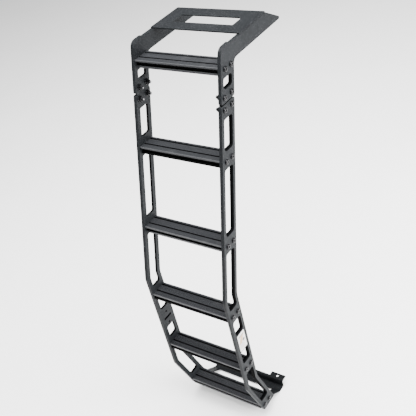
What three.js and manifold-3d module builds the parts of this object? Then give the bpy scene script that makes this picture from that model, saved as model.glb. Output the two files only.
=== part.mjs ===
// Tailgate step: a fixed rear ladder that hooks over the top of a vehicle's tailgate.
// X runs along the rungs (right positive), Y points towards the vehicle, Z is up, treads level.
// Outlines are drawn from the front face of the upright rail section and the level of the rail
// feet. The finished group is moved so that the origin is on the centre line in the hook's inner
// corner, where the underside of the arms meets the rear edge of the rails.
import * as THREE from 'three';
import Module from 'manifold-3d';
import { mergeVertices } from 'three/addons/utils/BufferGeometryUtils.js';

const wasm = await Module();
wasm.setup();

// ---- driving dimensions, mm and degrees ----
const GAP = 0.3;                 // clearance between touching pieces
const OUTER_WIDTH = 340;         // over the outer faces of the two rails
const RAIL_THICKNESS = 12;
const RAIL_DEPTH = 70;           // measured square to the rail
const RAIL_BEND_RADIUS = 40;
const LEAN = 18;                 // upper rails lean towards the vehicle
const TUCK = 19;                 // feet tuck in under the tailgate
const BEND_ABOVE_TREAD = 68;     // upper bend above the fourth tread, on the front edge
const FOOT_BEND = 150;           // lower bend above the lowest tread, on the front edge
const EDGE_STRIP = 16;           // material left along each rail edge beside an opening
const OPENING_RADIUS = 6;
const OPENING_CHAMFER = 3.5;     // on the outer rim of each opening

const BOTTOM_TREAD = 34;         // lowest tread above the feet
const PITCH_LOWER = 260;         // rung pitch on the upright section
const PITCH_BEND = 262;          // pitch across the upper bend
const PITCH_LEANING = 268;       // rung pitch on the leaning section
const WEB_ABOVE = 24.5;          // web between a tread and the opening above it
const WEB_BELOW = 36.5;          // from a tread down to the opening below it

const RUNG_SETBACK = 2;          // rung inside both rail edges on the upright section
const RUNG_HEIGHT = 28;
const RUNG_WALL = 3;
const GROOVE_INSET_FRONT = 23;   // centre of the front tread groove behind the nose
const GROOVE_INSET_REAR = 12;    // centre of the rear tread groove before the rung's rear face
const GROOVE_WIDTH = 4;
const GROOVE_DEPTH = 2.5;
const BOLT_DROP = 10;            // rung bolt axis below the tread
const BOLT_INSET = 16.5;         // rung bolt axis inside the rung's front and rear faces

const BOLT_RADIUS = 5;
const HEAD_RADIUS = 9;
const HEAD_HEIGHT = 5;
const RUNG_BOLT_GRIP = 20;       // length of bolt inside the rung
const JOINT_BELOW_TREAD = 106;   // level joint of upper and lower rail, below the top tread
const JOINT_GAP = 3;
const JOINT_RADIUS = 6;
const BAND_ABOVE = 42.5;         // solid band from the joint up to the next opening
const BAND_BELOW = 47.5;         // and down to the next opening
const SPLICE_INSET = 4;          // splice plate inside the edges of that band
const SPLICE_THICKNESS = 6;
const SPLICE_BOLT_RISE = 17.5;   // bolt rows above and below the joint
const SPLICE_BOLT_INSET = 16;    // splice bolt axis inside the rail edge, square to the rail
const NUT_HEIGHT = 10;
const NUT_ACROSS_FLATS = 16;
const NUT_FLANGE_RADIUS = 10.5;
const NUT_FLANGE_HEIGHT = 2.5;
const BOLT_TAIL = 7;

const ARM_BELOW_TREAD = 2;       // underside of the hook arms below the top tread
const ARM_HEIGHT = 56;
const ARM_SHOULDER_RADIUS = 27;
const ARM_FILLET = 20;
const ARM_REACH = 292;           // from the hook's inner corner to the arms' rear corner
const ARM_TIP_RADIUS = 5;
const RECESS_LEAD = 59;          // the arm edge drops this far before the cap plate
const CAP_THICKNESS = 4;
const CAP_SETBACK = 50;          // cap's front edge behind the hook's inner corner
const CAP_DEPTH = 156;
const CAP_SIDE_INSET = 1;
const WINDOW_MARGIN_FRONT = 49;
const WINDOW_DEPTH = 54;
const WINDOW_MARGIN_SIDE = 54;

const PAD_ABOVE_TREAD = 121;     // middle of the solid pad above the fifth tread
const PAD_HEIGHT = 92;
const SLOT_DROP = 6;             // slot below the pad's middle
const SLOT_LENGTH = 40;
const SLOT_WIDTH = 9;
const PAD_HOLE_RADIUS = 4;
const PAD_HOLE_RISE = 27;
const LABEL_THICKNESS = 0.8;
const LABEL_WIDTH = 42;
const LABEL_MARGIN = 8;          // label inside the pad's upper and lower edge

const BRACKET_THICKNESS = 4;
const BRACKET_SIDE_GAP = 1;      // bracket inside the rails' inner faces
const BRACKET_ARM_WIDTH = 29;
const FLANGE_FRONT = 22;         // flange under the lowest rung, before and behind its bolts
const FLANGE_REAR = 36;
const TROUGH_REACH = 109.5;      // from those bolts to the trough that takes the tailgate's edge
const TROUGH_DROP = 52;          // trough floor below the underside of the lowest rung
const TROUGH_WIDTH = 25;
const TROUGH_LIP = 6;            // short rising lip along the trough's free front edge
const TAB_RISE = 29;             // tabs above the trough floor
const TAB_LENGTH = 29;
const LEDGE_WIDTH = 10;
const TAB_WIDTH = 62;
const TAB_HOLE_RADIUS = 5.25;
const FOOT_BOLT_RADIUS = 4;
const FOOT_HEAD_RADIUS = 7.5;
const FOOT_HEAD_HEIGHT = 4;
const FOOT_NUT_HEIGHT = 6.5;
const FOOT_NUT_FLATS = 13;

// ---- materials ----
function coat(name, color, roughness, metalness) {
  const material = new THREE.MeshStandardMaterial({ color, roughness, metalness });
  material.name = name;
  return material;
}
const railCoat = coat('black_powder_coat', 0x26282a, 0.62, 0.1);
const treadCoat = coat('black_anodised_tread', 0x2e3032, 0.5, 0.5);
const boltFinish = coat('dark_zinc', 0x3a3c3f, 0.35, 0.9);
const labelFilm = coat('label_film', 0xe8e6e0, 0.45, 0);

const part = new THREE.Group();
part.name = 'tailgate_step';

function addPiece(name, geometry, material) {
  const mesh = new THREE.Mesh(geometry, material);
  mesh.name = name;
  part.add(mesh);
}

// ---- derived values ----
const tan = (degrees) => Math.tan(THREE.MathUtils.degToRad(degrees));
const cos = (degrees) => Math.cos(THREE.MathUtils.degToRad(degrees));
const arcSteps = 4;
const roundSides = 12;

// Rung treads from the top one down.
const rung4 = BOTTOM_TREAD + 2 * PITCH_LOWER;
const rung3 = rung4 + PITCH_BEND;
const treadHeights = [
  rung3 + 2 * PITCH_LEANING,
  rung3 + PITCH_LEANING,
  rung3,
  rung4,
  rung4 - PITCH_LOWER,
  BOTTOM_TREAD,
];
const topTread = treadHeights[0];
const bendUpper = rung4 + BEND_ABOVE_TREAD;
const bendLower = BOTTOM_TREAD + FOOT_BEND;
const jointHeight = topTread - JOINT_BELOW_TREAD;
const padCentre = treadHeights[4] + PAD_ABOVE_TREAD;

const outerFace = OUTER_WIDTH / 2;
const innerFace = outerFace - RAIL_THICKNESS;
const rungDepth = RAIL_DEPTH - 2 * RUNG_SETBACK;

// Y of a line that runs inside the rail, a given distance back from its front edge.
function railY(height, inset) {
  const leaning = (height - bendUpper) * tan(LEAN) + inset / cos(LEAN);
  const tucked = (bendLower - height) * tan(TUCK) + inset / cos(TUCK);
  return Math.max(leaning, inset, tucked);
}

// Heights at which such a line bends.
function upperBend(inset) {
  return bendUpper + (inset - inset / cos(LEAN)) / tan(LEAN);
}
function lowerBend(inset) {
  return bendLower - (inset - inset / cos(TUCK)) / tan(TUCK);
}

const armUnderside = topTread - ARM_BELOW_TREAD;
const armTop = armUnderside + ARM_HEIGHT;
const recessLevel = armTop - CAP_THICKNESS - GAP;
const hookCorner = railY(armUnderside, RAIL_DEPTH);
const capFront = hookCorner + CAP_SETBACK;
const capRear = capFront + CAP_DEPTH;

// ---- outline helpers; outlines are lists of [y, z, radius] ----
// A rounding is limited by half the shorter edge beside its corner.
function roundCorners(corners) {
  const points = [];
  corners.forEach((corner, index) => {
    const here = new THREE.Vector2(corner[0], corner[1]);
    const wanted = corner[2] ?? 0;
    if (wanted === 0) {
      points.push(here);
      return;
    }
    const before = corners[(index + corners.length - 1) % corners.length];
    const after = corners[(index + 1) % corners.length];
    const toBefore = new THREE.Vector2(before[0], before[1]).sub(here);
    const toAfter = new THREE.Vector2(after[0], after[1]).sub(here);
    const room = 0.499 * Math.min(toBefore.length(), toAfter.length());
    toBefore.normalize();
    toAfter.normalize();
    const half = Math.acos(THREE.MathUtils.clamp(toBefore.dot(toAfter), -1, 1)) / 2;
    const reach = Math.min(wanted / Math.tan(half), room);
    const radius = reach * Math.tan(half);
    const middle = toBefore.clone().add(toAfter).normalize();
    const centre = here.clone().addScaledVector(middle, radius / Math.sin(half));
    const first = here.clone().addScaledVector(toBefore, reach).sub(centre);
    const last = here.clone().addScaledVector(toAfter, reach).sub(centre);
    let sweep = last.angle() - first.angle();
    if (sweep > Math.PI) sweep -= 2 * Math.PI;
    if (sweep < -Math.PI) sweep += 2 * Math.PI;
    for (let step = 0; step <= arcSteps; step += 1) {
      const turn = first.angle() + (sweep * step) / arcSteps;
      points.push(new THREE.Vector2(
        centre.x + radius * Math.cos(turn),
        centre.y + radius * Math.sin(turn),
      ));
    }
  });
  return points;
}

// A round hole whose flats stay clear of a shank by the given clearance.
function roundHole(y, z, radius, clearance = 0) {
  const reach = (radius + clearance) / Math.cos(Math.PI / roundSides);
  const points = [];
  for (let side = 0; side < roundSides; side += 1) {
    const turn = (side * 2 * Math.PI) / roundSides;
    points.push(new THREE.Vector2(y + reach * Math.cos(turn), z + reach * Math.sin(turn)));
  }
  return points;
}

function outlineShape(points, holes) {
  const shape = new THREE.Shape(points);
  holes.forEach((hole) => shape.holes.push(new THREE.Path(hole)));
  return shape;
}

// Turns an extrusion drawn in (y, z) so that it runs along X from xStart.
function layAlongX(geometry, xStart) {
  const swap = new THREE.Matrix4().set(
    0, 0, 1, xStart,
    1, 0, 0, 0,
    0, 1, 0, 0,
    0, 0, 0, 1,
  );
  return geometry.applyMatrix4(swap);
}

function extrudeAlongX(points, holes, xStart, length) {
  const geometry = new THREE.ExtrudeGeometry(outlineShape(points, holes), {
    depth: length,
    bevelEnabled: false,
    steps: 1,
  });
  return layAlongX(geometry, xStart);
}

// ---- solids for joining and cutting ----
function toSolid(geometry) {
  const bare = geometry.clone();
  bare.deleteAttribute('normal');
  bare.deleteAttribute('uv');
  const merged = mergeVertices(bare, 1e-4);
  const vertProperties = new Float32Array(merged.attributes.position.array);
  const triVerts = new Uint32Array(merged.index.array);
  return new wasm.Manifold(new wasm.Mesh({ numProp: 3, vertProperties, triVerts }));
}

function toGeometry(solid) {
  const mesh = solid.getMesh();
  const geometry = new THREE.BufferGeometry();
  geometry.setAttribute('position', new THREE.BufferAttribute(new Float32Array(mesh.vertProperties), 3));
  geometry.setIndex(new THREE.BufferAttribute(new Uint32Array(mesh.triVerts), 1));
  geometry.computeVertexNormals();
  return geometry;
}

function boxSolid(xMin, xMax, yMin, yMax, zMin, zMax) {
  const geometry = new THREE.BoxGeometry(xMax - xMin, yMax - yMin, zMax - zMin);
  geometry.translate((xMin + xMax) / 2, (yMin + yMax) / 2, (zMin + zMax) / 2);
  return toSolid(geometry);
}

function uprightRod(x, y, zMin, zMax, radius) {
  const geometry = new THREE.CylinderGeometry(radius, radius, zMax - zMin, roundSides * 2);
  geometry.rotateX(Math.PI / 2);
  geometry.translate(x, y, (zMin + zMax) / 2);
  return toSolid(geometry);
}

// ---- rails ----
// An opening follows both rail edges between two level cuts.
function railOpening(top, bottom) {
  const front = EDGE_STRIP;
  const back = RAIL_DEPTH - EDGE_STRIP;
  const corners = [];
  corners.push([railY(top, front), top, OPENING_RADIUS]);
  [upperBend(front), lowerBend(front)].forEach((bend) => {
    if (bend < top && bend > bottom) corners.push([railY(bend, front), bend, RAIL_BEND_RADIUS]);
  });
  corners.push([railY(bottom, front), bottom, OPENING_RADIUS]);
  corners.push([railY(bottom, back), bottom, OPENING_RADIUS]);
  [lowerBend(back), upperBend(back)].forEach((bend) => {
    if (bend < top && bend > bottom) corners.push([railY(bend, back), bend, RAIL_BEND_RADIUS]);
  });
  corners.push([railY(top, back), top, OPENING_RADIUS]);
  return roundCorners(corners);
}

// Cuts the chamfer round an opening's outer rim on one rail.
function rimCutter(opening, side) {
  const past = 2;
  const geometry = new THREE.ExtrudeGeometry(new THREE.Shape(opening), {
    depth: past,
    bevelThickness: OPENING_CHAMFER,
    bevelSize: OPENING_CHAMFER,
    bevelSegments: 1,
    steps: 1,
  });
  const start = side > 0 ? outerFace : -outerFace - past;
  return toSolid(layAlongX(geometry, start));
}

function treadNose(height) {
  return railY(height, 0) + RUNG_SETBACK;
}

// The two bolt positions [y, z] at each end of a rung.
function rungBolts(height) {
  const nose = treadNose(height);
  return [BOLT_INSET, rungDepth - BOLT_INSET].map((inset) => [nose + inset, height - BOLT_DROP]);
}

// The two bolt positions [y, z] of one splice row.
function spliceBolts(height) {
  const insets = [SPLICE_BOLT_INSET, RAIL_DEPTH - SPLICE_BOLT_INSET];
  return insets.map((inset) => [railY(height, inset), height]);
}

function boltHoles(positions) {
  return positions.map(([y, z]) => roundHole(y, z, BOLT_RADIUS, GAP));
}

const upperRow = jointHeight + SPLICE_BOLT_RISE;
const lowerRow = jointHeight - SPLICE_BOLT_RISE;

// Each side is +1 for the right and -1 for the left.
const sides = [['left', -1], ['right', 1]];

// Start of an X extrusion that lies between two distances from the centre line.
function sideStart(side, near, far) {
  return side > 0 ? near : -far;
}

// Outline of the splice plate, grown by a margin for the pocket that it lies in.
function spliceOutline(margin) {
  const top = jointHeight + BAND_ABOVE - SPLICE_INSET + margin;
  const bottom = jointHeight - BAND_BELOW + SPLICE_INSET - margin;
  const front = SPLICE_INSET - margin;
  const back = RAIL_DEPTH - front;
  return roundCorners([
    [railY(top, front), top, JOINT_RADIUS],
    [railY(bottom, front), bottom, JOINT_RADIUS],
    [railY(bottom, back), bottom, JOINT_RADIUS],
    [railY(top, back), top, JOINT_RADIUS],
  ]);
}

// One rail plate: outline, through openings with chamfered rims, holes and the splice pocket.
function railPlate(side, outline, openings, holes) {
  const start = sideStart(side, innerFace, outerFace);
  let solid = toSolid(extrudeAlongX(outline, [...openings, ...holes], start, RAIL_THICKNESS));
  openings.forEach((opening) => {
    solid = solid.subtract(rimCutter(opening, side));
  });
  const past = 2;
  const depth = SPLICE_THICKNESS + GAP;
  const pocketStart = sideStart(side, innerFace - past, innerFace + depth);
  solid = solid.subtract(toSolid(extrudeAlongX(spliceOutline(GAP), [], pocketStart, depth + past)));
  return toGeometry(solid);
}

function upperRail(side) {
  const cut = jointHeight + JOINT_GAP / 2;
  const outline = roundCorners([
    [railY(cut, 0), cut, JOINT_RADIUS],
    [railY(cut, RAIL_DEPTH), cut, JOINT_RADIUS],
    [hookCorner, armUnderside, ARM_FILLET],
    [hookCorner + ARM_REACH, armUnderside, ARM_TIP_RADIUS],
    [capRear + GAP, recessLevel, 2],
    [capFront - RECESS_LEAD + CAP_THICKNESS, recessLevel, 1],
    [capFront - RECESS_LEAD, armTop, 1],
    [railY(armTop, 0), armTop, ARM_SHOULDER_RADIUS],
  ]);
  const openings = [railOpening(topTread - WEB_BELOW, jointHeight + BAND_ABOVE)];
  const holes = [...boltHoles(rungBolts(topTread)), ...boltHoles(spliceBolts(upperRow))];
  return railPlate(side, outline, openings, holes);
}

// The pad between the fourth and fifth rung has a level slot between two small holes.
function padHoles() {
  const middle = RAIL_DEPTH / 2;
  const slotHeight = padCentre - SLOT_DROP;
  const slotEnd = SLOT_LENGTH / 2;
  const slotHalf = SLOT_WIDTH / 2;
  return [
    roundHole(middle, slotHeight + PAD_HOLE_RISE, PAD_HOLE_RADIUS),
    roundHole(middle, slotHeight - PAD_HOLE_RISE, PAD_HOLE_RADIUS),
    roundCorners([
      [middle - slotEnd, slotHeight + slotHalf, slotHalf],
      [middle - slotEnd, slotHeight - slotHalf, slotHalf],
      [middle + slotEnd, slotHeight - slotHalf, slotHalf],
      [middle + slotEnd, slotHeight + slotHalf, slotHalf],
    ]),
  ];
}

function lowerRail(side) {
  const cut = jointHeight - JOINT_GAP / 2;
  const outline = roundCorners([
    [railY(cut, 0), cut, JOINT_RADIUS],
    [0, bendUpper, RAIL_BEND_RADIUS],
    [0, bendLower, RAIL_BEND_RADIUS],
    [railY(0, 0), 0, 3],
    [railY(0, RAIL_DEPTH), 0, 3],
    [RAIL_DEPTH, lowerBend(RAIL_DEPTH), RAIL_BEND_RADIUS],
    [RAIL_DEPTH, upperBend(RAIL_DEPTH), RAIL_BEND_RADIUS],
    [railY(cut, RAIL_DEPTH), cut, JOINT_RADIUS],
  ]);
  const below = treadHeights.slice(1);
  const openings = [
    railOpening(jointHeight - BAND_BELOW, below[0] + WEB_ABOVE),
    railOpening(below[0] - WEB_BELOW, below[1] + WEB_ABOVE),
    railOpening(below[1] - WEB_BELOW, below[2] + WEB_ABOVE),
    railOpening(below[2] - WEB_BELOW, padCentre + PAD_HEIGHT / 2),
    railOpening(padCentre - PAD_HEIGHT / 2, below[3] + WEB_ABOVE),
    railOpening(below[3] - WEB_BELOW, below[4] + WEB_ABOVE),
  ];
  const holes = [
    ...padHoles(),
    ...boltHoles(spliceBolts(lowerRow)),
    ...below.flatMap((height) => boltHoles(rungBolts(height))),
  ];
  return railPlate(side, outline, openings, holes);
}

// The splice plate lies flush in the pockets on the rails' inner faces.
function splicePlate(side) {
  const holes = boltHoles([...spliceBolts(upperRow), ...spliceBolts(lowerRow)]);
  const start = sideStart(side, innerFace, innerFace + SPLICE_THICKNESS);
  return extrudeAlongX(spliceOutline(0), holes, start, SPLICE_THICKNESS);
}

sides.forEach(([label, side]) => {
  addPiece(`upper_rail_${label}`, upperRail(side), railCoat);
  addPiece(`lower_rail_${label}`, lowerRail(side), railCoat);
  addPiece(`splice_plate_${label}`, splicePlate(side), railCoat);
});

// ---- cap plate over the hook arms ----
function capPlate() {
  const half = outerFace - CAP_SIDE_INSET;
  const outline = roundCorners([
    [-half, capFront, 4],
    [half, capFront, 4],
    [half, capRear, 4],
    [-half, capRear, 4],
  ]);
  const windowHalf = half - WINDOW_MARGIN_SIDE;
  const windowFront = capFront + WINDOW_MARGIN_FRONT;
  const windowRear = windowFront + WINDOW_DEPTH;
  const window = roundCorners([
    [-windowHalf, windowFront, 3],
    [windowHalf, windowFront, 3],
    [windowHalf, windowRear, 3],
    [-windowHalf, windowRear, 3],
  ]);
  const geometry = new THREE.ExtrudeGeometry(outlineShape(outline, [window]), {
    depth: CAP_THICKNESS,
    bevelEnabled: false,
    steps: 1,
  });
  return geometry.translate(0, 0, armTop - CAP_THICKNESS);
}
addPiece('cap_plate', capPlate(), railCoat);

// ---- rungs: hollow extrusions with screw channels ----
function groove(centre) {
  return [
    [centre - GROOVE_WIDTH / 2, 0],
    [centre - GROOVE_WIDTH / 2, -GROOVE_DEPTH],
    [centre + GROOVE_WIDTH / 2, -GROOVE_DEPTH],
    [centre + GROOVE_WIDTH / 2, 0],
  ];
}

// Rung section as [y, z] from the tread nose; the front face has a long slot above a lip.
const noseDepth = 6;
const slotFloor = 7;
const lipTop = 19;
const lipSetback = 3;
const rungSection = [
  [0.8, 0],
  ...groove(GROOVE_INSET_FRONT),
  ...groove(rungDepth - GROOVE_INSET_REAR),
  [rungDepth - 0.8, 0],
  [rungDepth, -0.8],
  [rungDepth, -RUNG_HEIGHT + 2],
  [rungDepth - 2, -RUNG_HEIGHT],
  [lipSetback + 1, -RUNG_HEIGHT],
  [lipSetback, -RUNG_HEIGHT + 1],
  [lipSetback, -lipTop],
  [slotFloor, -lipTop],
  [slotFloor, -noseDepth],
  [0, -noseDepth],
  [0, -0.8],
];

// Hollow chambers [yMin, yMax] of the section, between and beside the screw channels.
const channelHalf = BOLT_RADIUS + RUNG_WALL;
const frontChannel = BOLT_INSET;
const rearChannel = rungDepth - BOLT_INSET;
const chamberTop = -RUNG_WALL - GROOVE_DEPTH;
const chamberBottom = -RUNG_HEIGHT + RUNG_WALL;
const middleChamber = [frontChannel + channelHalf, rearChannel - channelHalf];
const rearChamber = [rearChannel + channelHalf, rungDepth - RUNG_WALL];

function chamber([yMin, yMax], nose, height) {
  return roundCorners([
    [nose + yMin, height + chamberTop, 1],
    [nose + yMin, height + chamberBottom, 1],
    [nose + yMax, height + chamberBottom, 1],
    [nose + yMax, height + chamberTop, 1],
  ]);
}

function rung(height) {
  const nose = treadNose(height);
  const length = 2 * (innerFace - GAP);
  const outline = rungSection.map(([y, z]) => new THREE.Vector2(nose + y, height + z));
  const holes = [
    chamber(middleChamber, nose, height),
    chamber(rearChamber, nose, height),
    ...boltHoles(rungBolts(height)),
  ];
  return extrudeAlongX(outline, holes, -length / 2, length);
}

// The lowest rung also has two bolt holes through its floor for the foot bracket, and its
// chamber walls always stand clear of the nuts.
const bracketHalf = innerFace - BRACKET_SIDE_GAP;
const footBoltX = bracketHalf - BRACKET_ARM_WIDTH / 2;
const footBoltY = treadNose(BOTTOM_TREAD) + rungDepth / 2;
const rungFloor = BOTTOM_TREAD - RUNG_HEIGHT;
const footNutReach = FOOT_NUT_FLATS / 2 / cos(30) + GAP;

treadHeights.forEach((height, index) => {
  let geometry = rung(height);
  if (height === BOTTOM_TREAD) {
    let solid = toSolid(geometry);
    sides.forEach(([, side]) => {
      const drill = uprightRod(
        side * footBoltX, footBoltY, rungFloor - 1, rungFloor + RUNG_WALL + 1, FOOT_BOLT_RADIUS + GAP,
      );
      const nutRoom = uprightRod(
        side * footBoltX, footBoltY, rungFloor + RUNG_WALL, height + chamberTop, footNutReach,
      );
      solid = solid.subtract(drill).subtract(nutRoom);
    });
    geometry = toGeometry(solid);
  }
  addPiece(`rung_${index + 1}`, geometry, treadCoat);
});

// ---- bolts and nuts ----
// A button-head bolt along Z: head from 0 upwards, shank downwards.
function buttonBolt(shankRadius, shankLength, headRadius, headHeight) {
  const profile = [
    new THREE.Vector2(0, -shankLength),
    new THREE.Vector2(shankRadius - 0.7, -shankLength),
    new THREE.Vector2(shankRadius, -shankLength + 0.7),
    new THREE.Vector2(shankRadius, 0),
    new THREE.Vector2(headRadius, 0),
    new THREE.Vector2(headRadius, headHeight * 0.25),
    new THREE.Vector2(headRadius * 0.62, headHeight),
    new THREE.Vector2(0, headHeight),
  ];
  const geometry = new THREE.LatheGeometry(profile, roundSides);
  return geometry.rotateX(Math.PI / 2);
}

// Turns a piece built along +Z to lie along X, pointing away from the centre line.
function aimOutward(geometry, side) {
  return geometry.rotateY((side * Math.PI) / 2);
}

function hexNut(acrossFlats, height, holeRadius, flangeRadius, flangeHeight) {
  const body = new THREE.CylinderGeometry(
    acrossFlats / 2 / Math.cos(Math.PI / 6), acrossFlats / 2 / Math.cos(Math.PI / 6), height, 6,
  );
  body.rotateX(Math.PI / 2).translate(0, 0, height / 2);
  let solid = toSolid(body);
  if (flangeRadius > 0) solid = solid.add(uprightRod(0, 0, 0, flangeHeight, flangeRadius));
  return solid.subtract(uprightRod(0, 0, -1, height + 1, holeRadius));
}

const rungShank = GAP + RAIL_THICKNESS + GAP + RUNG_BOLT_GRIP;
const spliceShank = GAP + RAIL_THICKNESS + GAP + NUT_HEIGHT + BOLT_TAIL;

sides.forEach(([label, side]) => {
  treadHeights.forEach((height, index) => {
    rungBolts(height).forEach(([y, z], which) => {
      const bolt = aimOutward(buttonBolt(BOLT_RADIUS, rungShank, HEAD_RADIUS, HEAD_HEIGHT), side);
      bolt.translate(side * (outerFace + GAP), y, z);
      addPiece(`rung_bolt_${label}_${index + 1}${which === 0 ? 'a' : 'b'}`, bolt, boltFinish);
    });
  });
  [...spliceBolts(upperRow), ...spliceBolts(lowerRow)].forEach(([y, z], index) => {
    const bolt = aimOutward(buttonBolt(BOLT_RADIUS, spliceShank, HEAD_RADIUS, HEAD_HEIGHT), side);
    bolt.translate(side * (outerFace + GAP), y, z);
    addPiece(`splice_bolt_${label}_${index + 1}`, bolt, boltFinish);
    const nut = toGeometry(
      hexNut(NUT_ACROSS_FLATS, NUT_HEIGHT, BOLT_RADIUS + GAP, NUT_FLANGE_RADIUS, NUT_FLANGE_HEIGHT),
    );
    aimOutward(nut, -side).translate(side * (innerFace - GAP), y, z);
    addPiece(`splice_nut_${label}_${index + 1}`, nut, boltFinish);
  });
});

// ---- label on the right rail's pad ----
function labelPiece() {
  const halfWidth = LABEL_WIDTH / 2;
  const halfHeight = PAD_HEIGHT / 2 - LABEL_MARGIN;
  const middle = RAIL_DEPTH / 2;
  const outline = roundCorners([
    [middle - halfWidth, padCentre - halfHeight, 3],
    [middle + halfWidth, padCentre - halfHeight, 3],
    [middle + halfWidth, padCentre + halfHeight, 3],
    [middle - halfWidth, padCentre + halfHeight, 3],
  ]);
  return extrudeAlongX(outline, [], outerFace + GAP, LABEL_THICKNESS);
}
addPiece('blank_label', labelPiece(), labelFilm);

// ---- foot bracket: one bent sheet under the lowest rung ----
function footBracket() {
  const t = BRACKET_THICKNESS;
  const flangeTop = rungFloor - GAP;
  const flangeFront = footBoltY - FLANGE_FRONT;
  const flangeRear = footBoltY + FLANGE_REAR;
  const troughLevel = rungFloor - TROUGH_DROP;
  const troughFront = footBoltY + TROUGH_REACH;
  const troughRear = troughFront + TROUGH_WIDTH;
  const tabLevel = troughLevel + TAB_RISE;
  const tabRear = troughRear + TAB_LENGTH;
  const slope = Math.atan2(flangeTop - troughLevel, troughFront - flangeRear);
  const shift = t * Math.tan(slope / 2);
  const outline = roundCorners([
    [flangeFront, flangeTop],
    [flangeFront, flangeTop - t],
    [flangeRear - shift, flangeTop - t, 3],
    [troughFront - shift, troughLevel - t, 8],
    [troughRear + t, troughLevel - t, 6],
    [troughRear + t, tabLevel - t, 1.5],
    [tabRear, tabLevel - t],
    [tabRear, tabLevel],
    [troughRear, tabLevel, 5],
    [troughRear, troughLevel, 2],
    [troughFront, troughLevel, 4],
    [flangeRear, flangeTop, 7],
  ]);
  let solid = toSolid(extrudeAlongX(outline, [], -bracketHalf, 2 * bracketHalf));
  const clear = bracketHalf - BRACKET_ARM_WIDTH;
  solid = solid.subtract(boxSolid(
    -clear, clear, flangeFront - 1, troughFront - TROUGH_LIP, troughLevel - 2 * t, flangeTop + 1,
  ));
  const betweenTabs = bracketHalf - TAB_WIDTH;
  solid = solid.subtract(boxSolid(
    -betweenTabs, betweenTabs, troughRear + LEDGE_WIDTH, tabRear + 1, tabLevel - 2 * t, tabLevel + 1,
  ));
  const tabHoleX = bracketHalf - TAB_WIDTH / 2;
  const tabHoleY = tabRear - TAB_LENGTH / 2 + 2;
  sides.forEach(([, side]) => {
    solid = solid.subtract(uprightRod(
      side * tabHoleX, tabHoleY, tabLevel - 2 * t, tabLevel + 1, TAB_HOLE_RADIUS,
    ));
    solid = solid.subtract(uprightRod(
      side * footBoltX, footBoltY, flangeTop - 2 * t, flangeTop + 1, FOOT_BOLT_RADIUS + GAP,
    ));
  });
  return toGeometry(solid);
}
addPiece('foot_bracket', footBracket(), railCoat);

const footShank = BRACKET_THICKNESS + RUNG_WALL + FOOT_NUT_HEIGHT + 3 * GAP + 2;
sides.forEach(([label, side]) => {
  const bolt = buttonBolt(FOOT_BOLT_RADIUS, footShank, FOOT_HEAD_RADIUS, FOOT_HEAD_HEIGHT);
  bolt.rotateX(Math.PI);
  bolt.translate(side * footBoltX, footBoltY, rungFloor - BRACKET_THICKNESS - 2 * GAP);
  addPiece(`foot_bolt_${label}`, bolt, boltFinish);
  const nut = toGeometry(hexNut(FOOT_NUT_FLATS, FOOT_NUT_HEIGHT, FOOT_BOLT_RADIUS + GAP, 0, 0));
  nut.translate(side * footBoltX, footBoltY, rungFloor + RUNG_WALL + GAP);
  addPiece(`foot_nut_${label}`, nut, boltFinish);
});

// ---- origin in the hook's inner corner ----
part.position.set(0, -hookCorner, -armUnderside);

export default part;
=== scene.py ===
"""Tailgate step ladder.

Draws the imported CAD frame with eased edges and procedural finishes, in plain studio light.
"""

import math
import bmesh
import bpy
from mathutils import Matrix, Vector


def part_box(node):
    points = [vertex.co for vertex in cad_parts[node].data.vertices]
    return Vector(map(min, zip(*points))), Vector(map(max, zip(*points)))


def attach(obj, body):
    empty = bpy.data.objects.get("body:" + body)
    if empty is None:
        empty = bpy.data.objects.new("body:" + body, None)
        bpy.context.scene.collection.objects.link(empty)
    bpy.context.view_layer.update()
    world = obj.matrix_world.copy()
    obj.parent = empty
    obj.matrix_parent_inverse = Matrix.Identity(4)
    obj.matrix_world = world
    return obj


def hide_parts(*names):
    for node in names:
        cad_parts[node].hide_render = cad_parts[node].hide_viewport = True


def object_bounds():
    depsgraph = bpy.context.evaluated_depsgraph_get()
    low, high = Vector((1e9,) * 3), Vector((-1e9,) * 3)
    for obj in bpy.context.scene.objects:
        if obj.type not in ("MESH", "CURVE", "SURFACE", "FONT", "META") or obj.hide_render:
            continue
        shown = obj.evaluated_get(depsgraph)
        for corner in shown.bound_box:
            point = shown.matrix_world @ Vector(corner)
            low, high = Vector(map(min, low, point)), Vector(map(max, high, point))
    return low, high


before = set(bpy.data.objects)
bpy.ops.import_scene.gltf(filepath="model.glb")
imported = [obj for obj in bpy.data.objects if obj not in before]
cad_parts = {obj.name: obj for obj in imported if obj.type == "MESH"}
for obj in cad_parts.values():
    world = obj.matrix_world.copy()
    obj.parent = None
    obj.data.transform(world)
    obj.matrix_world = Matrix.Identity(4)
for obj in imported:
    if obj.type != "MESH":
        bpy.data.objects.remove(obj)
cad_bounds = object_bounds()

MM = 0.001
SIDES = (("left", -1), ("right", 1))
RUNGS = range(1, 7)
SPLICE_BOLTS = range(1, 5)

# ---- camera, at the photograph's viewing angle ----
CAMERA_PLACE = Vector((1324.0, -1566.3, 872.5)) * MM
CAMERA_TURN = math.radians(41.458)
CAMERA_DROP = math.radians(35.293)
CAMERA_ROLL = math.radians(-14.177)
CAMERA_LENS = 61.447
CAMERA_SENSOR = 36
CAMERA_SHIFT = (-0.0079, -0.0026)
CAMERA_CLIP = (0.01, 50)


def link(name, data):
    """A new object in the scene's own collection."""
    thing = bpy.data.objects.new(name, data)
    bpy.context.scene.collection.objects.link(thing)
    return thing


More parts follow.
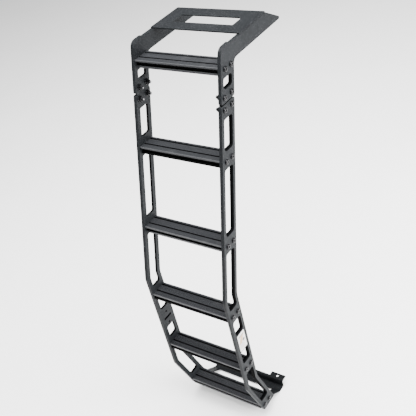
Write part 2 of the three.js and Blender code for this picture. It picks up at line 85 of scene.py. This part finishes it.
def add_camera():
    forward = Vector((
        -math.sin(CAMERA_TURN) * math.cos(CAMERA_DROP),
        math.cos(CAMERA_TURN) * math.cos(CAMERA_DROP),
        -math.sin(CAMERA_DROP),
    ))
    right = Vector((math.cos(CAMERA_TURN), math.sin(CAMERA_TURN), 0))
    up = right.cross(forward)
    rolled_right = right * math.cos(CAMERA_ROLL) + up * math.sin(CAMERA_ROLL)
    rolled_up = up * math.cos(CAMERA_ROLL) - right * math.sin(CAMERA_ROLL)
    data = bpy.data.cameras.new("camera")
    data.lens = CAMERA_LENS
    data.sensor_width = CAMERA_SENSOR
    data.shift_x, data.shift_y = CAMERA_SHIFT
    data.clip_start, data.clip_end = CAMERA_CLIP
    camera = link("camera", data)
    turn = Matrix((rolled_right, rolled_up, -forward)).transposed().to_4x4()
    camera.matrix_world = Matrix.Translation(CAMERA_PLACE) @ turn
    bpy.context.scene.camera = camera


add_camera()


# ---- finishes ----
class Finish:
    """A small builder for one procedural material."""

    def __init__(
        self, name, roughness, metallic=0.0, specular=0.5, coat=0.0, coat_roughness=0.2,
    ):
        self.material = bpy.data.materials.new(name)
        self.material.use_nodes = True
        self.nodes = self.material.node_tree.nodes
        self.links = self.material.node_tree.links
        self.shader = self.nodes["Principled BSDF"]
        self.set("Roughness", roughness)
        self.set("Metallic", metallic)
        self.set("Specular IOR Level", specular)
        self.set("Coat Weight", coat)
        self.set("Coat Roughness", coat_roughness)
        self.place = self.nodes.new("ShaderNodeTexCoord").outputs["Object"]

    def set(self, socket, value):
        """A constant on the shader's own socket."""
        self.shader.inputs[socket].default_value = value

    def feed(self, socket, value):
        """A pattern into one of the shader's sockets."""
        self.links.new(value, self.shader.inputs[socket])

    def stretched(self, scale):
        mapping = self.nodes.new("ShaderNodeMapping")
        mapping.inputs["Scale"].default_value = scale
        self.links.new(self.place, mapping.inputs["Vector"])
        return mapping.outputs["Vector"]

    def noise(self, scale, detail, stretch=None):
        texture = self.nodes.new("ShaderNodeTexNoise")
        texture.inputs["Scale"].default_value = scale
        texture.inputs["Detail"].default_value = detail
        source = self.stretched(stretch) if stretch else self.place
        self.links.new(source, texture.inputs["Vector"])
        return texture.outputs["Fac"]

    def spread(self, value, low, high, start=0.3, end=0.7):
        """Maps a value from start..end to low..high."""
        node = self.nodes.new("ShaderNodeMapRange")
        node.inputs["From Min"].default_value = start
        node.inputs["From Max"].default_value = end
        node.inputs["To Min"].default_value = low
        node.inputs["To Max"].default_value = high
        self.links.new(value, node.inputs["Value"])
        return node.outputs["Result"]

    def combine(self, operation, first, second):
        """One math node over two values, each a number or a socket."""
        node = self.nodes.new("ShaderNodeMath")
        node.operation = operation
        for index, value in enumerate((first, second)):
            if isinstance(value, (int, float)):
                node.inputs[index].default_value = value
            else:
                self.links.new(value, node.inputs[index])
        return node.outputs["Value"]

    def mix(self, factor, first, second):
        """Blends two colours, each a triple or a socket."""
        node = self.nodes.new("ShaderNodeMix")
        node.data_type = "RGBA"
        for socket, value in (("A", first), ("B", second)):
            target = next(i for i in node.inputs if i.name == socket and i.type == "RGBA")
            if isinstance(value, tuple):
                target.default_value = (*value, 1.0)
            else:
                self.links.new(value, target)
        self.links.new(factor, node.inputs["Factor"])
        return next(o for o in node.outputs if o.type == "RGBA")

    def axis(self, name):
        node = self.nodes.new("ShaderNodeSeparateXYZ")
        self.links.new(self.place, node.inputs["Vector"])
        return node.outputs[name]

    def attribute(self, name):
        node = self.nodes.new("ShaderNodeAttribute")
        node.attribute_name = name
        return node.outputs["Fac"]

    def bump(self, height, strength, distance, before=None):
        node = self.nodes.new("ShaderNodeBump")
        node.inputs["Strength"].default_value = strength
        node.inputs["Distance"].default_value = distance
        self.links.new(height, node.inputs["Height"])
        if before:
            self.links.new(before, node.inputs["Normal"])
        return node.outputs["Normal"]


def scaled(share, *colours):
    return [tuple(part * share for part in colour) for colour in colours]


def powder_coat(name, share, specular):
    """Fine textured black powder coat; share scales its paleness."""
    dark, pale, dust = scaled(
        share, (0.006, 0.0068, 0.0078), (0.010, 0.011, 0.0122), (0.030, 0.032, 0.035),
    )
    finish = Finish(name, roughness=0.5, specular=specular)
    grain = finish.noise(scale=900.0, detail=3.0)
    cloud = finish.noise(scale=9.0, detail=4.0)
    speck = finish.noise(scale=420.0, detail=1.0)
    shade = finish.mix(finish.spread(cloud, low=0.0, high=1.0), dark, pale)
    dusty = finish.spread(speck, low=0.0, high=1.0, start=0.58, end=0.72)
    finish.feed("Base Color", finish.mix(dusty, shade, dust))
    finish.feed("Roughness", finish.spread(grain, low=0.42, high=0.58))
    peel = finish.bump(finish.noise(scale=260.0, detail=2.0), strength=0.10, distance=0.0003)
    finish.feed("Normal", finish.bump(grain, strength=0.16, distance=0.00012, before=peel))
    return finish.material


def tread_coat(name, share, specular, metallic):
    """Black anodised extrusion: lines drawn along the rung, scuffs and a painted highlight along
    the front rim.
    """
    dark, pale, scuffed, nose_highlight = scaled(
        share, (0.015, 0.016, 0.018), (0.023, 0.024, 0.027),
        (0.042, 0.043, 0.046), (0.085, 0.087, 0.092),
    )
    finish = Finish(name, roughness=0.4, metallic=metallic, specular=specular)
    drawn = finish.noise(scale=1.0, detail=4.0, stretch=(6.0, 900.0, 900.0))
    scuff = finish.noise(scale=14.0, detail=6.0)
    base = finish.mix(finish.spread(drawn, low=0.0, high=1.0), dark, pale)
    rubbed = finish.spread(scuff, low=0.0, high=0.5, start=0.55, end=0.75)
    shade = finish.mix(rubbed, base, scuffed)
    # The nose attribute blends in the painted highlight.
    finish.feed("Base Color", finish.mix(finish.attribute("nose"), shade, nose_highlight))
    finish.feed("Roughness", finish.spread(drawn, low=0.32, high=0.46))
    finish.feed("Normal", finish.bump(drawn, strength=0.14, distance=0.0001))
    return finish.material


def dark_zinc(name, dark, pale, roughness, coat):
    """Zinc plating with a cloudy passivated skin."""
    finish = Finish(
        name, roughness, metallic=0.6, specular=0.2, coat=coat, coat_roughness=0.1,
    )
    cloud = finish.noise(scale=260.0, detail=3.0)
    fine = finish.noise(scale=1600.0, detail=2.0)
    finish.feed("Base Color", finish.mix(finish.spread(cloud, low=0.0, high=1.0), dark, pale))
    finish.feed("Roughness", finish.spread(fine, low=roughness - 0.07, high=roughness + 0.08))
    finish.feed("Normal", finish.bump(fine, strength=0.15, distance=0.00005))
    return finish.material


# The label's print, in shares of its width and height.
LABEL_HEADING = ((0.12, 0.86), (0.80, 0.90))
LABEL_ROWS = 5
LABEL_ROW_START = 0.12
LABEL_ROW_ENDS = (0.80, 0.70)
LABEL_ROW_PITCH = 0.065
LABEL_ROW_THICKNESS = 0.02
LABEL_SLANT = -0.9
LABEL_STROKE = ((-0.34, 0.06), (0.42, 0.82))
LABEL_DOT = (0.72, 0.52)
LABEL_DOT_RADIUS = 6.5 * MM


def label_film(low, high):
    """Pale film with generic printed bars, one slanted stroke and a round dot."""
    finish = Finish("label_film", roughness=0.42, coat=0.15)
    grain = finish.noise(scale=500.0, detail=2.0)
    film = finish.mix(
        finish.spread(grain, low=0.0, high=1.0), (0.46, 0.45, 0.43), (0.56, 0.55, 0.53),
    )
    across = finish.spread(finish.axis("Y"), low=0.0, high=1.0, start=low.y, end=high.y)
    rise = finish.spread(finish.axis("Z"), low=0.0, high=1.0, start=low.z, end=high.z)

    def band(value, start, end):
        above = finish.combine("GREATER_THAN", value, start)
        return finish.combine("MULTIPLY", above, finish.combine("LESS_THAN", value, end))

    def patch(sideways, sideways_range, rise_range):
        return finish.combine("MULTIPLY", band(sideways, *sideways_range), band(rise, *rise_range))

    def squared_offset(value, centre, size):
        offset = finish.combine("MULTIPLY", finish.combine("SUBTRACT", value, centre), size)
        return finish.combine("MULTIPLY", offset, offset)

    ink = patch(across, *LABEL_HEADING)
    for row in range(LABEL_ROWS):
        level = LABEL_ROW_START + row * LABEL_ROW_PITCH
        width = (LABEL_ROW_START, LABEL_ROW_ENDS[row % 2])
        bar = patch(across, width, (level, level + LABEL_ROW_THICKNESS))
        ink = finish.combine("MAXIMUM", ink, bar)
    slanted = finish.combine("ADD", across, finish.combine("MULTIPLY", rise, LABEL_SLANT))
    stroke = patch(slanted, *LABEL_STROKE)
    from_dot = finish.combine(
        "ADD",
        squared_offset(across, LABEL_DOT[0], high.y - low.y),
        squared_offset(rise, LABEL_DOT[1], high.z - low.z),
    )
    dot = finish.combine("LESS_THAN", from_dot, LABEL_DOT_RADIUS ** 2)
    printed = finish.mix(ink, film, (0.16, 0.15, 0.14))
    printed = finish.mix(stroke, printed, (0.34, 0.22, 0.12))
    finish.feed("Base Color", finish.mix(dot, printed, (0.02, 0.02, 0.02)))
    finish.feed("Normal", finish.bump(grain, strength=0.1, distance=0.00005))
    return finish.material


RAIL = powder_coat("rail_powder_coat", share=0.8, specular=0.07)
# A much darker copy of the rail coat: painted shade for opening walls, the joint and the splice
# plate's hidden side.
RAIL_PAINTED_SHADE = powder_coat("rail_powder_painted_shade", share=0.12, specular=0.01)
# A darker copy of the rail coat: painted shade over the whole foot bracket.
BRACKET_SHADED = powder_coat("bracket_powder_painted_shade", share=0.5, specular=0.05)
TREAD = tread_coat("rung_anodised", share=0.9, specular=0.28, metallic=0.25)
# A near-black copy of the rung finish: painted shade in the chambers, front slot and grooves.
TREAD_PAINTED_SHADE = tread_coat("rung_anodised_painted_shade", share=0.04, specular=0.01, metallic=0.0)
ZINC = dark_zinc(
    "bolt_dark_zinc", (0.003, 0.003, 0.004), (0.009, 0.009, 0.010), roughness=0.17, coat=0.03,
)
# A pale zinc copy, painted highlight for the bolts' sockets and shank ends.
BOLT_HIGHLIGHT = dark_zinc(
    "bolt_painted_highlight", (0.16, 0.16, 0.165), (0.3, 0.3, 0.31), roughness=0.22, coat=0.2,
)

# ---- pieces ----
WELD = 2e-6
SAME_PLANE = math.radians(0.4)
HARD_EDGE = math.radians(28)
FLAT_WEIGHT = 80
# The material slot that holds painted shade or a painted highlight.
PAINTED_LIGHT_SLOT = 1


def add_piece(name, mesh, material, nodes, flats=True):
    """Puts a mesh in the scene in place of its CAD nodes."""
    mesh.materials.append(material)
    piece = link(name, mesh)
    for polygon in mesh.polygons:
        polygon.use_smooth = True
    if flats:
        weight = piece.modifiers.new("flats", "WEIGHTED_NORMAL")
        weight.weight = FLAT_WEIGHT
        weight.keep_sharp = True
    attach(piece, "root")
    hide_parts(*nodes)
    return piece


def welded_node(name):
    """The CAD node's own surface with shared corners."""
    work = bmesh.new()
    work.from_mesh(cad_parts[name].data)
    bmesh.ops.remove_doubles(work, verts=work.verts, dist=WELD)
    return work


def flat_node(name):
    """The CAD node's own surface with each flat face in one piece."""
    work = welded_node(name)
    bmesh.ops.dissolve_limit(
        work, angle_limit=SAME_PLANE, verts=work.verts, edges=work.edges, delimit=set(),
    )
    return work


def is_hard(edge, angle=HARD_EDGE):
    return len(edge.link_faces) == 2 and edge.calc_face_angle(0.0) > angle


def mark_hard(work, angle):
    """Keeps the shading apart at each edge that bends more than the angle."""
    for edge in work.edges:
        if is_hard(edge, angle):
            edge.smooth = False


def round_edges(work, radius, steps):
    bmesh.ops.bevel(
        work, geom=[edge for edge in work.edges if is_hard(edge)], offset=radius,
        offset_type="OFFSET", segments=steps, profile=0.5, affect="EDGES", clamp_overlap=True,
    )


def to_mesh(work, name):
    mesh = bpy.data.meshes.new(name)
    work.to_mesh(mesh)
    work.free()
    return mesh


# ---- rails, splices, cap and bracket ----
PLATE_STEPS = 2
RAIL_RADIUS = 0.9 * MM
SPLICE_RADIUS = 0.5 * MM
CAP_RADIUS = 0.8 * MM
BRACKET_RADIUS = 0.7 * MM
OUTLINE_REACH = 0.1 * MM
LEVEL_EDGE = 1e-7
EDGE_STRIP = 8 * MM
JOINT_HEIGHT = 5 * MM
JOINT_REACH = 3 * MM
# How far a face's normal leans towards X (walls, splice plate) or Z (the rails' joint).
WALL_LEAN = 0.8
SPLICE_LEAN = 0.5
JOINT_LEAN = 0.9


def outer_edges(name):
    """The outline edges on the inner face of a rail."""
    work = welded_node(name)
    near = min(abs(vert.co.x) for vert in work.verts)
    found = []
    for edge in work.edges:
        on_inner_face = all(abs(abs(vert.co.x) - near) < OUTLINE_REACH for vert in edge.verts)
        if on_inner_face and is_hard(edge):
            found.append((edge.verts[0].co.copy(), edge.verts[1].co.copy()))
    work.free()
    return found


TOP_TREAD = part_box("rung_1")[1].z
JOINT_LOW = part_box("lower_rail_right")[1].z
JOINT_HIGH = JOINT_LOW + JOINT_HEIGHT
OUTLINES = {name: outer_edges(name) for name in ("lower_rail_right", "upper_rail_right")}


def rail_lines(z):
    """Front and rear Y of the rails at a height, from the right rail's outline."""
    found = []
    for edges in OUTLINES.values():
        for start, end in edges:
            if (start.z - z) * (end.z - z) <= 0 and abs(start.z - end.z) > LEVEL_EDGE:
                share = (z - start.z) / (end.z - start.z)
                found.append(start.y + share * (end.y - start.y))
    return (min(found), max(found)) if found else None


def inside_opening(point):
    """Whether a wall belongs to an opening rather than to the rail's outer edge."""
    lines = rail_lines(point.z)
    if not lines or point.z > TOP_TREAD:
        return False
    return lines[0] + EDGE_STRIP < point.y < lines[1] - EDGE_STRIP


def at_joint(point, normal):
    """Whether a face is one of the two that meet at the rails' joint."""
    level = JOINT_LOW - JOINT_REACH < point.z < JOINT_HIGH + JOINT_REACH
    return level and abs(normal.z) > JOINT_LEAN


def plate_piece(name, radius, material, pierced=False):
    """A coated plate with every edge eased; a pierced one gets painted shade on its opening walls
    and at the joint.
    """
    work = flat_node(name)
    round_edges(work, radius, PLATE_STEPS)
    work.normal_update()
    if pierced:
        # Opening walls and the joint's faces get painted shade.
        for face in work.faces:
            middle = face.calc_center_median()
            deep = inside_opening(middle) or at_joint(middle, face.normal)
            if deep and abs(face.normal.x) < WALL_LEAN:
                face.material_index = PAINTED_LIGHT_SLOT
    piece = add_piece("shown_" + name, to_mesh(work, name), material, [name])
    if pierced:
        piece.data.materials.append(RAIL_PAINTED_SHADE)
    return piece


def splice_piece(label, side):
    """The splice plate; the side that shows through the joint gets painted shade."""
    piece = plate_piece(f"splice_plate_{label}", SPLICE_RADIUS, RAIL)
    piece.data.materials.append(RAIL_PAINTED_SHADE)
    for polygon in piece.data.polygons:
        if polygon.normal.x * side > SPLICE_LEAN:
            polygon.material_index = PAINTED_LIGHT_SLOT


for label, side in SIDES:
    plate_piece(f"lower_rail_{label}", RAIL_RADIUS, RAIL, pierced=True)
    plate_piece(f"upper_rail_{label}", RAIL_RADIUS, RAIL, pierced=True)
    splice_piece(label, side)
plate_piece("cap_plate", CAP_RADIUS, RAIL)
plate_piece("foot_bracket", BRACKET_RADIUS, BRACKET_SHADED)

# ---- rungs ----
END_REACH = 0.01 * MM
CORNER_CUT = 0.7 * MM
CORNER_OPEN = math.radians(140)
CORNER_ROOM = 2.2
CORNER_FULLNESS = 0.42
RIB_PITCH = 1.9 * MM
RIB_DEPTH = 0.45 * MM
RIB_MARGIN = 1.3 * MM
RIB_HALF_MOUTH = 0.22
RIBBED_BAND = 6 * MM
LEVEL_REACH = 0.02 * MM
NOSE_WIDTH = 1.6 * MM
NOSE_HEIGHT = 0.4 * MM
RUNG_HARD_EDGE = math.radians(42)
# Faces further in than this from the front and rear, underside and tread get painted shade.
DARK_INSET = 3 * MM
DARK_ABOVE = 1.2 * MM
DARK_BELOW = 0.7 * MM
# The middles of the tread's two grooves, from its front and from its rear.
GROOVE_FROM_FRONT = 23 * MM
GROOVE_FROM_REAR = 12 * MM
GROOVE_REACH = 2.9 * MM
GROOVE_LIP = 1 * MM


def end_loops(name):
    """The closed outlines of a rung's end, as lists of (y, z)."""
    work = flat_node(name)
    end_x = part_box(name)[0].x
    links = {}
    for edge in work.edges:
        if all(abs(vert.co.x - end_x) < END_REACH for vert in edge.verts) and is_hard(edge):
            first, second = edge.verts
            links.setdefault(first.index, []).append(second.index)
            links.setdefault(second.index, []).append(first.index)
    places = {vert.index: (vert.co.y, vert.co.z) for vert in work.verts}
    work.free()
    loops = []
    left = set(links)
    while left:
        here = left.pop()
        loop = [here]
        while True:
            ahead = [index for index in links[here] if index in left]
            if not ahead:
                break
            here = ahead[0]
            left.discard(here)
            loop.append(here)
        loops.append([places[index] for index in loop])
    return loops


def signed_area(loop):
    return 0.5 * sum(a[0] * b[1] - b[0] * a[1] for a, b in zip(loop, loop[1:] + loop[:1]))


def ease(loop, size):
    """Cuts each hard corner of a loop back a little."""
    eased = []
    for index, here in enumerate(loop):
        middle = Vector(here)
        back = Vector(loop[index - 1]) - middle
        ahead = Vector(loop[(index + 1) % len(loop)]) - middle
        if back.angle(ahead) > CORNER_OPEN or min(back.length, ahead.length) < CORNER_ROOM * size:
            eased.append(here)
            continue
        back.normalize()
        ahead.normalize()
        near = middle + back * size
        far = middle + ahead * size
        centre = (near + far) / 2
        eased += [tuple(near), tuple(centre.lerp(middle, CORNER_FULLNESS)), tuple(far)]
    return eased


def rib_tops(loop, top):
    """Fine anti-slip ribs: shallow saw cuts along the level bands of a tread."""
    ribbed = []
    for index, here in enumerate(loop):
        after = loop[(index + 1) % len(loop)]
        ribbed.append(here)
        level = all(abs(point[1] - top) < LEVEL_REACH for point in (here, after))
        span = after[0] - here[0]
        if not level or abs(span) < RIBBED_BAND:
            continue
        count = int((abs(span) - 2 * RIB_MARGIN) / RIB_PITCH)
        step = math.copysign(RIB_PITCH, span)
        start = here[0] + (span - count * step) / 2
        mouth = RIB_HALF_MOUTH * step
        for rib in range(count + 1):
            at = start + rib * step
            if abs(at - here[0]) < RIB_MARGIN or abs(at - after[0]) < RIB_MARGIN:
                continue
            ribbed += [(at - mouth, top), (at, top - RIB_DEPTH), (at + mouth, top)]
    return ribbed


def extrude_loops(loops, near_x, far_x):
    """One closed body between two ends, whose first loop is its outline."""
    work = bmesh.new()
    ends = []
    for x in (near_x, far_x):
        edges = []
        rings = []
        for loop in loops:
            ring = [work.verts.new((x, y, z)) for y, z in loop]
            rings.append(ring)
            edges += [work.edges.new(pair) for pair in zip(ring, ring[1:] + ring[:1])]
        bmesh.ops.triangle_fill(work, use_beauty=True, use_dissolve=False, edges=edges)
        ends.append(rings)
    for near, far in zip(*ends):
        for i in range(len(near)):
            j = (i + 1) % len(near)
            work.faces.new((near[i], near[j], far[j], far[i]))
    bmesh.ops.recalc_face_normals(work, faces=work.faces)
    return work


def lies_deep(point, low, high):
    """Whether a rung's face is in a chamber, in the front slot or in a tread groove, where it gets
    painted shade.
    """
    level = low.z + DARK_ABOVE < point.z < high.z - DARK_BELOW
    inside = low.y + DARK_INSET < point.y < high.y - DARK_INSET
    grooves = (low.y + GROOVE_FROM_FRONT, high.y - GROOVE_FROM_REAR)
    in_groove = min(abs(point.y - middle) for middle in grooves) < GROOVE_REACH
    return (level and inside) or (in_groove and point.z > high.z - GROOVE_LIP)


def rung_mesh(name):
    """A rung rebuilt from its end outlines, with a ribbed tread and eased corners."""
    low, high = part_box(name)
    shaped = []
    for loop in sorted(end_loops(name), key=lambda loop: -abs(signed_area(loop))):
        is_outline = not shaped
        if (signed_area(loop) > 0) != is_outline:
            loop = loop[::-1]
        shaped.append(ease(rib_tops(loop, high.z), CORNER_CUT) if is_outline else loop)
    work = extrude_loops(shaped, low.x, high.x)
    # The front rim's vertices carry a painted highlight.
    nose = work.verts.layers.float.new("nose")
    for vert in work.verts:
        at_nose = vert.co.y < low.y + NOSE_WIDTH and vert.co.z > high.z - NOSE_HEIGHT
        vert[nose] = 1.0 if at_nose else 0.0
    # Faces in the chambers, the front slot and the grooves get painted shade.
    for face in work.faces:
        if lies_deep(face.calc_center_median(), low, high):
            face.material_index = PAINTED_LIGHT_SLOT
    mark_hard(work, RUNG_HARD_EDGE)
    return to_mesh(work, name)


for number in RUNGS:
    name = f"rung_{number}"
    piece = add_piece("shown_" + name, rung_mesh(name), TREAD, [name])
    piece.data.materials.append(TREAD_PAINTED_SHADE)

# ---- bolts and nuts ----
ROUND_STEPS = 24
BOLT_HARD_EDGE = math.radians(50)
NUT_HARD_EDGE = math.radians(25)
M10_BOLT = {
    "head_radius": 9 * MM, "head_height": 5 * MM, "shank_radius": 5 * MM, "socket": 6 * MM,
}
M8_BOLT = {
    "head_radius": 7.5 * MM, "head_height": 4 * MM, "shank_radius": 4 * MM, "socket": 5 * MM,
}
M10_NUT = {"across": 16 * MM, "flange": 10.5 * MM, "flange_height": 2.5 * MM, "bore": 5.3 * MM}
M8_NUT = {"across": 13 * MM, "flange": 7 * MM, "flange_height": 0.0, "bore": 4.3 * MM}
THREAD_PITCH = 1.5 * MM
THREAD_DEPTH = 0.75 * MM
THREAD_LENGTH = 19 * MM
THREAD_RINGS_PER_TURN = 4
SHANK_CHAMFER = 1.1 * MM
HEAD_RIM = 0.9 * MM
CROWN_STEPS = 6
CROWN_STEP = math.radians(10.8)
CROWN_TOP = 0.47
CROWN_BULGE = 0.9
SOCKET_RIM = 1.3 * MM
SOCKET_DEPTH = 0.62
SOCKET_TIP = 0.75
FLANGE_CUT = 1.6 * MM
PLAIN_NUT = 1.2
NUT_CROWN = 1.03
# The painted highlights: the socket's floor and the shank's end, in shares of the bolt's own
# sizes.
BRIGHT_DEPTH = 0.9
BRIGHT_SOCKET = 0.36
BRIGHT_END = 0.4


def join_rows(work, below, above):
    for step in range(ROUND_STEPS):
        after = (step + 1) % ROUND_STEPS
        work.faces.new((below[step], below[after], above[after], above[step]))


def lathe(rings):
    """Joins a stack of rings, each (height, radius or radius at an angle), along +Z."""
    work = bmesh.new()
    rows = []
    for height, radius in rings:
        row = []
        for step in range(ROUND_STEPS):
            turn = 2 * math.pi * step / ROUND_STEPS
            size = radius(turn) if callable(radius) else radius
            row.append(work.verts.new((size * math.cos(turn), size * math.sin(turn), height)))
        rows.append(row)
    for below, above in zip(rows, rows[1:]):
        join_rows(work, below, above)
    return work, rows


def hexagon(across):
    """Radius of a hexagon with these flats at an angle."""
    def radius(turn):
        sector = (turn + math.pi / 6) % (math.pi / 3) - math.pi / 6
        return across / 2 / math.cos(sector)
    return radius


def thread_rings(start, end, radius):
    """Rings of a helical thread between two heights."""
    count = max(2, round((end - start) / (THREAD_PITCH / THREAD_RINGS_PER_TURN)))
    rings = []
    for index in range(count + 1):
        height = start + (end - start) * index / count

        def size(turn, height=height):
            phase = (height / THREAD_PITCH + turn / (2 * math.pi)) % 1.0
            return radius - THREAD_DEPTH * 2 * abs(phase - 0.5)
        rings.append((height, size))
    return rings


def middle_and_length(name, axis):
    """A node's middle and its length along an axis."""
    low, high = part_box(name)
    index = max(range(3), key=lambda i: abs(axis[i]))
    return (low + high) / 2, high[index] - low[index]


def turned_mesh(work, name, centre, axis, hard_edge):
    """The mesh of a body built along +Z, turned onto an axis and moved to a point."""
    turn = Vector((0, 0, 1)).rotation_difference(axis).to_matrix().to_4x4()
    bmesh.ops.transform(work, matrix=Matrix.Translation(centre) @ turn, verts=work.verts)
    work.normal_update()
    mark_hard(work, hard_edge)
    return to_mesh(work, name)


def bolt_mesh(name, axis, head_radius, head_height, shank_radius, socket, threaded):
    """A button head bolt whose head points along the axis."""
    centre, length = middle_and_length(name, axis)
    top = length / 2
    under = top - head_height
    bottom = -top
    rings = [(bottom, BRIGHT_END * shank_radius), (bottom, shank_radius - SHANK_CHAMFER)]
    if threaded:
        thread_end = min(under - 1 * MM, bottom + THREAD_LENGTH)
        rings += thread_rings(bottom + 0.9 * MM, thread_end, shank_radius)
    else:
        rings.append((bottom + 1 * MM, shank_radius))
    rings += [
        # neck and underside
        (under - 0.4 * MM, shank_radius),
        (under, shank_radius + 0.1 * MM),
        # eased rim
        (under, head_radius - 0.5 * MM),
        (under + 0.3 * MM, head_radius - 0.08 * MM),
        (under + HEAD_RIM, head_radius - 0.02 * MM),
    ]
    for step in range(1, CROWN_STEPS + 1):
        turn = CROWN_STEP * step
        size = head_radius * (CROWN_TOP + (1 - CROWN_TOP) * math.cos(turn) ** CROWN_BULGE)
        lift = (head_height - HEAD_RIM) * math.sin(turn) / math.sin(CROWN_STEP * CROWN_STEPS)
        rings.append((under + HEAD_RIM + lift, size))
    flats = hexagon(socket)
    rings += [
        # flat around the socket, its chamfer, walls and drilled floor
        (top, socket / 2 + SOCKET_RIM),
        (top - 0.05 * MM, lambda turn: flats(turn) + 0.35 * MM),
        (top - 0.4 * MM, flats),
        (top - SOCKET_DEPTH * head_height, flats),
        (top - SOCKET_TIP * head_height, 0.4 * MM),
    ]
    work, rows = lathe(rings)
    work.faces.new(rows[0][::-1])
    work.faces.new(rows[-1])
    return turned_mesh(work, name, centre, axis, BOLT_HARD_EDGE)


def nut_mesh(name, axis, across, flange, flange_height, bore):
    """A hexagon nut, with or without a flange; the axis points away from its bearing face."""
    centre, height = middle_and_length(name, axis)
    bottom = -height / 2
    top = height / 2
    flats = hexagon(across)
    crown = across / 2 * NUT_CROWN

    def cut(limit):
        return lambda turn: min(flats(turn), limit)

    if flange <= across / 2 * PLAIN_NUT:
        foot = [(bottom, cut(crown)), (bottom + 0.6 * MM, flats)]
    else:
        shoulder = flange - FLANGE_CUT
        foot = [
            (bottom, flange - 0.4 * MM),
            (bottom + 0.4 * MM, flange - 0.03 * MM),
            (bottom + flange_height * 0.55, flange - 0.03 * MM),
            (bottom + flange_height, lambda turn: max(flats(turn), shoulder)),
            (bottom + flange_height + 0.5 * MM, cut(shoulder)),
        ]
    work, rows = lathe([
        (bottom, bore),
        *foot,
        # flats, chamfered crown and the bore's countersink
        (top - 1.3 * MM, flats),
        (top - 0.5 * MM, cut(crown + 0.5 * MM)),
        (top, cut(crown - 0.3 * MM)),
        (top, bore + 0.7 * MM),
        (top - 0.7 * MM, bore),
    ])
    join_rows(work, rows[-1], rows[0])
    return turned_mesh(work, name, centre, axis, NUT_HARD_EDGE)


def bolt_piece(name, axis, size, threaded):
    """A bolt whose socket floor and shank end carry a painted highlight."""
    mesh = bolt_mesh(name, axis, threaded=threaded, **size)
    add_piece("shown_" + name, mesh, ZINC, [name], flats=False)
    mesh.materials.append(BOLT_HIGHLIGHT)
    centre, length = middle_and_length(name, axis)
    socket_floor = length / 2 - BRIGHT_DEPTH * size["head_height"]
    shank_end = -length / 2 + 0.1 * MM
    for polygon in mesh.polygons:
        offset = polygon.center - centre
        along = offset.dot(axis)
        aside = (offset - axis * along).length
        in_socket = along > socket_floor and aside < BRIGHT_SOCKET * size["socket"]
        at_end = along < shank_end and aside < BRIGHT_END * size["shank_radius"]
        # The socket floor and the shank end get the painted highlight.
        if in_socket or at_end:
            polygon.material_index = PAINTED_LIGHT_SLOT


def nut_piece(name, axis, size):
    mesh = nut_mesh(name, axis, **size)
    add_piece("shown_" + name, mesh, ZINC, [name], flats=False)


for label, side in SIDES:
    outward = Vector((side, 0, 0))
    for number in RUNGS:
        for end in "ab":
            bolt_piece(f"rung_bolt_{label}_{number}{end}", outward, M10_BOLT, threaded=False)
    for number in SPLICE_BOLTS:
        bolt_piece(f"splice_bolt_{label}_{number}", outward, M10_BOLT, threaded=True)
        nut_piece(f"splice_nut_{label}_{number}", -outward, M10_NUT)
    bolt_name = f"foot_bolt_{label}"
    nut_name = f"foot_nut_{label}"
    low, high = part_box(bolt_name)
    nut_low, nut_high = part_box(nut_name)
    up = Vector((0, 0, 1 if nut_low.z + nut_high.z < low.z + high.z else -1))
    bolt_piece(bolt_name, up, M8_BOLT, threaded=True)
    nut_piece(nut_name, -up, M8_NUT)

# ---- label ----
LABEL_RADIUS = 0.2 * MM
LABEL_STEPS = 1

work = flat_node("blank_label")
round_edges(work, LABEL_RADIUS, LABEL_STEPS)
film = label_film(*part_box("blank_label"))
add_piece("shown_blank_label", to_mesh(work, "blank_label"), film, ["blank_label"])

# ---- studio ----
FLOOR_REACH = 9.0
FLOOR_GAP = 3 * MM
WORLD_STRENGTH = 0.4
# Each light: its name, place, target, width, height and power, in metres and watts.
LIGHTS = (
    ("overhead", (0.3, -0.3, 3.2), (0.0, 0.0, -0.8), 4.0, 4.0, 1050),
    ("right_side", (3.4, 0.6, 0.6), (0.0, -0.1, -0.6), 2.6, 2.6, 500),
    ("low_front", (1.6, -1.6, -1.2), (0.0, -0.25, -1.1), 0.8, 0.5, 24),
)


def add_world():
    world = bpy.data.worlds.new("studio")
    world.use_nodes = True
    background = world.node_tree.nodes["Background"].inputs
    background["Color"].default_value = (1, 1, 1, 1)
    background["Strength"].default_value = WORLD_STRENGTH
    bpy.context.scene.world = world


def add_floor():
    finish = Finish("studio_floor", roughness=0.7)
    soft = finish.spread(finish.noise(scale=3.0, detail=3.0), low=0.0, high=1.0)
    finish.feed("Base Color", finish.mix(soft, (0.93, 0.93, 0.93), (0.95, 0.95, 0.95)))
    level = cad_bounds[0][2] - FLOOR_GAP
    around = ((-1, -1), (1, -1), (1, 1), (-1, 1))
    corners = [(x * FLOOR_REACH, y * FLOOR_REACH, level) for x, y in around]
    mesh = bpy.data.meshes.new("floor")
    mesh.from_pydata(corners, [], [(0, 1, 2, 3)])
    mesh.materials.append(finish.material)
    floor = link("floor", mesh)


def add_light(name, place, target, width, height, power):
    data = bpy.data.lights.new(name, "AREA")
    data.shape = "RECTANGLE"
    data.size = width
    data.size_y = height
    data.energy = power
    light = link(name, data)
    place = Vector(place)
    aim = (Vector(target) - place).normalized()
    turn = aim.to_track_quat("-Z", "Y").to_matrix().to_4x4()
    light.matrix_world = Matrix.Translation(place) @ turn


add_world()
add_floor()
for light in LIGHTS:
    add_light(*light)
